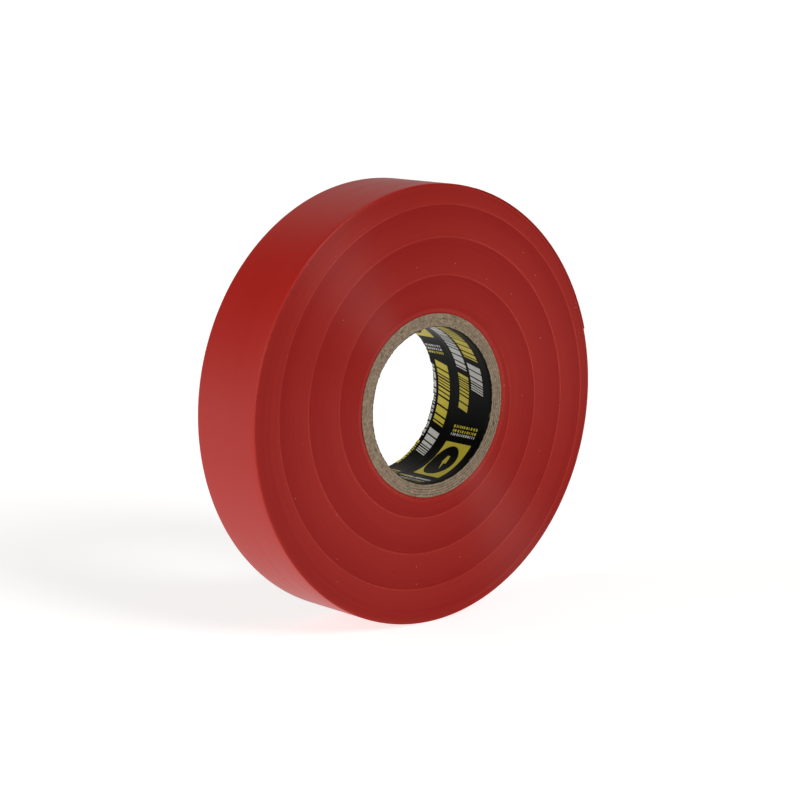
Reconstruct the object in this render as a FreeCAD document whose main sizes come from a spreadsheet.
import FreeCAD, Part
import math
import os
import Sketcher

# Roll of PVC electrical tape: printed liner, five-ply chipboard core, wound strip and a free end that peels.
#
# Frame: the roll's axis is Y and the origin is the middle of the core's bore. +Z is up, as the roll stands
# on its rim. Angles are measured about the axis from +X towards +Z. Millimetres.

doc = FreeCAD.newDocument("tape_roll")

# ---------------------------------------------------------------- driving dimensions

DIMENSIONS = [
    ("tape_width", 19.0, "width of the strip, and length of the core"),
    ("roll_radius", 46.6, "outside of the last turn, at the free end"),
    ("turn_pitch", 0.17, "thickness that one turn adds: film, adhesive and slack"),
    ("film_thick", 0.13, "PVC film"),
    ("glue_thick", 0.02, "pressure-sensitive adhesive under the film"),
    ("core_radius", 19.5, "outside of the chipboard core"),
    ("core_offset", 0.6, "how far the core lies off the centre of the outer turns, towards +X"),
    ("bore_radius", 16.6, "inside of the printed liner"),
    ("liner_thick", 0.15, "printed paper liner"),
    ("liner_inset", 0.3, "how far the liner stops short of each end of the core"),
    ("lap_degrees", 9.0, "overlap of the liner's glued seam"),
    ("ply_thick", 0.55, "one ply of chipboard"),
    ("seam_gap", 0.3, "butt gap between the two edges of a ply"),
    ("seam_slant", 45.0, "angle of a ply's seam to the axis, in degrees"),
    ("start_gap", 0.5, "void where the second turn climbs over the start of the strip"),
    ("peel_degrees", 60.0, "arc of the last turn that lifts"),
    ("segment_degrees", 10.0, "arc of one rigid length of the lifting end"),
    ("hinge_gap_degrees", 0.05, "half the gap between two lengths of the lifting end"),
    ("end_lift", 0.06, "how far the lifting end stands proud of the last turn"),
    ("step_degrees", 1.0, "arc between the peel line and the end of the turn below"),
]

PLY_COUNT = 5
SEGMENT_COUNT = 6
FREE_END_ANGLE = 15.0  # where the cut end of the strip lies
LINER_SEAM_ANGLE = 274.0
STRIP_START_ANGLE = 140.0
FIRST_PLY_SEAM_ANGLE = 35.0
PLY_SEAM_STAGGER = 137.5  # keeps the seams of neighbouring plies well apart
SEAM_OVERRUN = 1.0  # how far a seam's cut runs past each end of the tube
SEAM_REACH = 5.0  # how far a seam's cut reaches beyond the outside of the core
LAP_ROOT = 3.0  # the lap's section goes a third of the paper's thickness into the wrap under it

sheet = doc.addObject("Spreadsheet::Sheet", "dims")
for row, (alias, value, meaning) in enumerate(DIMENSIONS, start=1):
    sheet.set(f"A{row}", alias)
    sheet.set(f"B{row}", str(value))
    sheet.set(f"C{row}", meaning)
    sheet.setAlias(f"B{row}", alias)
doc.recompute()

# ---------------------------------------------------------------- helpers


def dim(alias):
    """A driving dimension's value, for placing geometry before its constraints take over."""
    return float(sheet.get(alias))


def new_body(label, angle=0.0, offset=0.0):
    """A body turned about the core's axis, from +X towards +Z, then moved by the offset along X."""
    body = doc.addObject("PartDesign::Body", label)
    body.Label = label
    turned = FreeCAD.Rotation(FreeCAD.Vector(0, -1, 0), angle)
    body.Placement = FreeCAD.Placement(FreeCAD.Vector(offset, 0, 0), turned)
    return body


def new_outer_body(label):
    """A body of the outer turns, which are wound a little off the core's centre."""
    return new_body(label, FREE_END_ANGLE, -dim("core_offset"))


def new_sketch(body, name, plane="XZ_Plane"):
    """A sketch on one of the body's own origin planes. On XZ, sketch x is X and sketch y is Z."""
    sketch = body.newObject("Sketcher::SketchObject", name)
    sketch.AttachmentSupport = [(next(o for o in body.Origin.OriginFeatures if o.Role == plane), "")]
    sketch.MapMode = "FlatFace"
    return sketch


def bind(sketch, index, name, expression):
    sketch.renameConstraint(index, name)
    sketch.setExpression(f"Constraints.{name}", expression)


def add_core_circle(sketch, name, radius, expression):
    """A full circle about the core's axis, in a sketch of an outer body, where that axis is off centre."""
    angle = math.radians(FREE_END_ANGLE)
    centre = FreeCAD.Vector(dim("core_offset") * math.cos(angle), -dim("core_offset") * math.sin(angle), 0)
    circle = sketch.addGeometry(Part.Circle(centre, FreeCAD.Vector(0, 0, 1), radius), False)
    across = sketch.addConstraint(Sketcher.Constraint("DistanceX", -1, 1, circle, 3, centre.x))
    bind(sketch, across, "across", f"dims.core_offset * cos({FREE_END_ANGLE} deg)")
    down = sketch.addConstraint(Sketcher.Constraint("DistanceY", circle, 3, -1, 1, -centre.y))
    bind(sketch, down, "down", f"dims.core_offset * sin({FREE_END_ANGLE} deg)")
    bind(sketch, sketch.addConstraint(Sketcher.Constraint("Radius", circle, radius)), name, expression)


def add_circle(sketch, name, radius, expression):
    """A full circle about the body's axis, its radius bound to the sheet."""
    circle = sketch.addGeometry(Part.Circle(FreeCAD.Vector(), FreeCAD.Vector(0, 0, 1), radius), False)
    sketch.addConstraint(Sketcher.Constraint("Coincident", circle, 3, -1, 1))
    bind(sketch, sketch.addConstraint(Sketcher.Constraint("Radius", circle, radius)), name, expression)


def polar(radius, degrees):
    angle = math.radians(degrees)
    return FreeCAD.Vector(radius * math.cos(angle), radius * math.sin(angle), 0)


def draw_arc(sketch, radius, start, end, centre_x=0.0):
    circle = Part.Circle(FreeCAD.Vector(centre_x, 0, 0), FreeCAD.Vector(0, 0, 1), radius)
    return sketch.addGeometry(Part.ArcOfCircle(circle, math.radians(start), math.radians(end)), False)


def add_arc(sketch, name, radius, expression, start, end):
    """An arc about the axis, from start to end degrees, its radius bound to the sheet."""
    arc = draw_arc(sketch, radius, start, end)
    sketch.addConstraint(Sketcher.Constraint("Coincident", arc, 3, -1, 1))
    bind(sketch, sketch.addConstraint(Sketcher.Constraint("Radius", arc, radius)), name, expression)
    return arc


def add_end_line(sketch, name, inner_radius, outer_radius, degrees, expression):
    """A straight cut through the strip, on a ray from the axis."""
    line = sketch.addGeometry(
        Part.LineSegment(polar(inner_radius, degrees), polar(outer_radius, degrees)), False
    )
    sketch.addConstraint(Sketcher.Constraint("PointOnObject", -1, 1, line))
    slope = sketch.addConstraint(Sketcher.Constraint("Angle", -1, 1, line, 1, math.radians(degrees)))
    bind(sketch, slope, name, expression)
    return line


def join(sketch, first, first_point, second, second_point):
    sketch.addConstraint(Sketcher.Constraint("Coincident", first, first_point, second, second_point))


def pad(body, sketch, name, length_expression):
    """Pads a section both ways from the roll's middle plane."""
    feature = body.newObject("PartDesign::Pad", name)
    feature.Profile = sketch
    feature.Midplane = True
    feature.setExpression("Length", length_expression)
    sketch.Visibility = False
    return feature


def volume(body):
    doc.recompute()
    return body.Shape.Volume


# ---------------------------------------------------------------- core


def seam_corners(half_gap, reach, lean):
    """Corners of the seam's outline, in order: a band across the middle that leans by so much at each end."""
    return [
        FreeCAD.Vector(-lean - half_gap, -reach, 0),
        FreeCAD.Vector(-lean + half_gap, -reach, 0),
        FreeCAD.Vector(lean + half_gap, reach, 0),
        FreeCAD.Vector(lean - half_gap, reach, 0),
    ]


def draw_seam(body, name, slanted):
    """The outline of a seam, seen from above: slanted for a ply, square for the strip's start."""
    sketch = new_sketch(body, name + "_line", "XY_Plane")
    reach = dim("tape_width") / 2 + SEAM_OVERRUN
    half_gap = dim("seam_gap" if slanted else "start_gap") / 2
    lean = reach * math.tan(math.radians(dim("seam_slant"))) if slanted else 0.0
    corners = seam_corners(half_gap, reach, lean)
    pairs = list(zip(corners, corners[1:] + corners[:1]))
    sides = [sketch.addGeometry(Part.LineSegment(first, second), False) for first, second in pairs]
    for side, following in zip(sides, sides[1:] + sides[:1]):
        join(sketch, side, 2, following, 1)
    sketch.addConstraint(Sketcher.Constraint("Symmetric", sides[0], 1, sides[2], 1, -1, 1))
    sketch.addConstraint(Sketcher.Constraint("Horizontal", sides[0]))
    sketch.addConstraint(Sketcher.Constraint("Parallel", sides[1], sides[3]))
    gap = sketch.addConstraint(Sketcher.Constraint("DistanceX", sides[0], 1, sides[0], 2, 2 * half_gap))
    bind(sketch, gap, "gap", "dims.seam_gap" if slanted else "dims.start_gap")
    length = f"dims.tape_width + {2 * SEAM_OVERRUN}"
    rise = sketch.addConstraint(Sketcher.Constraint("DistanceY", sides[1], 1, sides[1], 2, 2 * reach))
    bind(sketch, rise, "rise", length)
    if slanted:
        run = sketch.addConstraint(Sketcher.Constraint("DistanceX", sides[1], 1, sides[1], 2, 2 * lean))
        bind(sketch, run, "run", f"({length}) * tan(dims.seam_slant * 1 deg)")
    else:
        sketch.addConstraint(Sketcher.Constraint("Vertical", sides[1]))
    return sketch


def cut_seam(body, name, slanted):
    """Cuts the tube open along a narrow seam in its upper wall, and checks that the cut took something."""
    before = volume(body)
    sketch = draw_seam(body, name, slanted)
    cut = body.newObject("PartDesign::Pocket", name)
    cut.Profile = sketch
    cut.Type = 0
    cut.setExpression("Length", f"dims.core_radius + {SEAM_REACH}")
    cut.Reversed = True
    sketch.Visibility = False
    after = volume(body)
    assert after < before, f"{body.Label}: the seam cut nothing"
    print(f"{body.Label}: seam took {before - after:.3f} mm3")


def make_liner():
    """Printed paper wrapped once round the bore, with its inner edge glued over the outer one."""
    body = new_body("printed_liner", LINER_SEAM_ANGLE)
    ring = new_sketch(body, "liner_ring")
    inner, outer = dim("bore_radius"), dim("bore_radius") + dim("liner_thick")
    add_circle(ring, "inner", inner, "dims.bore_radius")
    add_circle(ring, "outer", outer, "dims.bore_radius + dims.liner_thick")
    pad(body, ring, "liner_wrap", "dims.tape_width - 2 * dims.liner_inset")
    lap = new_sketch(body, "lap_sector")
    half = dim("lap_degrees") / 2
    low, high = inner - dim("liner_thick"), inner + dim("liner_thick") / LAP_ROOT
    arcs = [
        add_arc(lap, "low", low, "dims.bore_radius - dims.liner_thick", -half, half),
        add_arc(lap, "high", high, f"dims.bore_radius + dims.liner_thick / {LAP_ROOT}", -half, half),
    ]
    ends = [
        add_end_line(lap, "near", low, high, -half, "-dims.lap_degrees / 2 * 1 deg"),
        add_end_line(lap, "far", low, high, half, "dims.lap_degrees / 2 * 1 deg"),
    ]
    join(lap, arcs[0], 1, ends[0], 1)
    join(lap, arcs[1], 1, ends[0], 2)
    join(lap, arcs[0], 2, ends[1], 1)
    join(lap, arcs[1], 2, ends[1], 2)
    pad(body, lap, "liner_lap", "dims.tape_width - 2 * dims.liner_inset")
    return body


def make_ply(number):
    """One chipboard ply: a tube with its two edges butted along a slanted seam."""
    seam_angle = FIRST_PLY_SEAM_ANGLE + (number - 1) * PLY_SEAM_STAGGER
    body = new_body(f"core_ply_{number}", seam_angle - 90)
    ring = new_sketch(body, f"ply_{number}_ring")
    inner = f"dims.bore_radius + dims.liner_thick + {number - 1} * dims.ply_thick"
    start = dim("bore_radius") + dim("liner_thick") + (number - 1) * dim("ply_thick")
    add_circle(ring, "inner", start, inner)
    add_circle(ring, "outer", start + dim("ply_thick"), inner + " + dims.ply_thick")
    pad(body, ring, f"ply_{number}_tube", "dims.tape_width")
    cut_seam(body, f"ply_{number}_seam", slanted=True)
    return body


# ---------------------------------------------------------------- wound strip

# A wound strip is a spiral. It is drawn with half circles about two centres, half a pitch apart: the upper
# half of each turn about the axis, the lower half about a centre beside it. Each half turn meets the next
# tangentially, and the outer face of one turn is exactly the inner face of the turn above. Before a part is
# turned into place, the cut end of the strip lies at 0 degrees.


def add_turn(sketch, name, depth, start, finish):
    """One face of a turn: from start, over the top, round below, and on up to finish one pitch further in.

    The depth counts pitches below the outside of the roll. Returns the first and the last arc.
    """
    pitch = dim("turn_pitch")
    radius = dim("roll_radius") - depth * pitch
    expression = f"dims.roll_radius - {depth} * dims.turn_pitch"
    upper = add_arc(sketch, name, radius, expression, start, 180)
    lower = draw_arc(sketch, radius - pitch / 2, 180, 360, -pitch / 2)
    last = draw_arc(sketch, radius - pitch, 0, finish)
    sketch.addConstraint(Sketcher.Constraint("PointOnObject", lower, 3, -1))
    shift = sketch.addConstraint(Sketcher.Constraint("DistanceX", lower, 3, -1, 1, pitch / 2))
    bind(sketch, shift, name + "_shift", "dims.turn_pitch / 2")
    sketch.addConstraint(Sketcher.Constraint("Coincident", last, 3, -1, 1))
    sketch.addConstraint(Sketcher.Constraint("PointOnObject", upper, 2, -1))
    sketch.addConstraint(Sketcher.Constraint("PointOnObject", lower, 2, -1))
    join(sketch, upper, 2, lower, 1)
    join(sketch, lower, 2, last, 1)
    return upper, last


def add_step(sketch, outer_depth):
    """The end of a turn, where the turn above it climbs down: one pitch high, just short of the peel line."""
    pitch = dim("turn_pitch")
    outer = dim("roll_radius") - outer_depth * pitch
    angle = dim("peel_degrees") - dim("step_degrees")
    expression = "(dims.peel_degrees - dims.step_degrees) * 1 deg"
    return add_end_line(sketch, "step", outer - pitch, outer, angle, expression)


def make_first_turn():
    """The first turn, stuck to the core. The turn above climbs over its start and leaves a small void."""
    body = new_body("first_turn", STRIP_START_ANGLE - 90)
    ring = new_sketch(body, "first_turn_ring")
    inner = dim("core_radius")
    add_circle(ring, "inner", inner, "dims.core_radius")
    add_circle(ring, "outer", inner + dim("turn_pitch"), "dims.core_radius + dims.turn_pitch")
    pad(body, ring, "first_turn_wrap", "dims.tape_width")
    cut_seam(body, "first_turn_start", slanted=False)
    return body


def make_wound_turns():
    """Every turn between the first and the last, held by the strip's own adhesive as one mass."""
    body = new_outer_body("wound_turns")
    sketch = new_sketch(body, "wound_section")
    bore = dim("core_radius") + dim("turn_pitch")
    add_core_circle(sketch, "bore", bore, "dims.core_radius + dims.turn_pitch")
    step = dim("peel_degrees") - dim("step_degrees")
    upper, last = add_turn(sketch, "outside", 1, step, step)
    end = add_step(sketch, 1)
    join(sketch, last, 2, end, 1)
    join(sketch, end, 2, upper, 1)
    pad(body, sketch, "wound_pad", "dims.tape_width")
    return body


def make_outer_turn():
    """The last full turn that stays stuck down, from the peel line back to where it passes under itself."""
    body = new_outer_body("outer_turn")
    sketch = new_sketch(body, "outer_section")
    step = dim("peel_degrees") - dim("step_degrees")
    peel = dim("peel_degrees") + dim("hinge_gap_degrees")
    peel_expression = "(dims.peel_degrees + dims.hinge_gap_degrees) * 1 deg"
    outside_first, outside_last = add_turn(sketch, "outside", 0, peel, step)
    inside_first, inside_last = add_turn(sketch, "inside", 1, peel, step)
    radius = dim("roll_radius")
    peel_line = add_end_line(sketch, "peel_line", radius - dim("turn_pitch"), radius, peel, peel_expression)
    end = add_step(sketch, 1)
    join(sketch, peel_line, 1, inside_first, 1)
    join(sketch, peel_line, 2, outside_first, 1)
    join(sketch, end, 1, inside_last, 2)
    join(sketch, end, 2, outside_last, 2)
    pad(body, sketch, "outer_pad", "dims.tape_width")
    return body


def make_end_length(label, number, depths):
    """One rigid length of the lifting end: a sector between two radii.

    Each radius is the outside of the lifting end less the thicknesses named in its depth list.
    """
    body = new_outer_body(label)
    sketch = new_sketch(body, label + "_section")
    gap = dim("hinge_gap_degrees")
    far = dim("peel_degrees") - number * dim("segment_degrees") + gap
    near = far + dim("segment_degrees") - 2 * gap
    far_expression = f"dims.peel_degrees - {number} * dims.segment_degrees + dims.hinge_gap_degrees"
    near_expression = f"dims.peel_degrees - {number - 1} * dims.segment_degrees - dims.hinge_gap_degrees"
    radii = []
    for depth in depths:
        value = dim("roll_radius") + dim("end_lift") - sum(dim(alias) for alias in depth)
        names = ["dims.roll_radius + dims.end_lift"] + ["dims." + alias for alias in depth]
        radii.append((value, " - ".join(names)))
    high = add_arc(sketch, "high", *radii[0], far, near)
    low = add_arc(sketch, "low", *radii[1], far, near)
    far_end = add_end_line(sketch, "far", radii[1][0], radii[0][0], far, f"({far_expression}) * 1 deg")
    near_end = add_end_line(sketch, "near", radii[1][0], radii[0][0], near, f"({near_expression}) * 1 deg")
    join(sketch, far_end, 1, low, 1)
    join(sketch, far_end, 2, high, 1)
    join(sketch, near_end, 1, low, 2)
    join(sketch, near_end, 2, high, 2)
    pad(body, sketch, label + "_pad", "dims.tape_width")
    return body


FILM_DEPTHS = ([], ["film_thick"])
ADHESIVE_DEPTHS = (["film_thick"], ["film_thick", "glue_thick"])

# ---------------------------------------------------------------- build

bodies = [make_liner()]
bodies += [make_ply(number) for number in range(1, PLY_COUNT + 1)]
bodies += [make_first_turn(), make_wound_turns(), make_outer_turn()]
for number in range(1, SEGMENT_COUNT + 1):
    bodies.append(make_end_length(f"end_film_{number}", number, FILM_DEPTHS))
    bodies.append(make_end_length(f"end_adhesive_{number}", number, ADHESIVE_DEPTHS))
doc.recompute()

failed = [o.Name for o in doc.Objects if "Invalid" in o.State or "Error" in o.State]
assert not failed, f"features that failed: {failed}"
for body in bodies:
    shape = body.Shape
    sound = not shape.isNull() and shape.isValid() and len(shape.Solids) == 1
    assert sound, f"{body.Label} is not one valid solid"

os.makedirs("parts", exist_ok=True)
for body in bodies:
    body.Shape.exportStep(f"parts/{body.Label}.step")
    box = body.Shape.BoundBox
    print(
        f"{body.Label:16s} {body.Shape.Volume:10.2f} mm3  "
        f"{box.XLength:6.2f} x {box.YLength:6.2f} x {box.ZLength:6.2f} mm"
    )
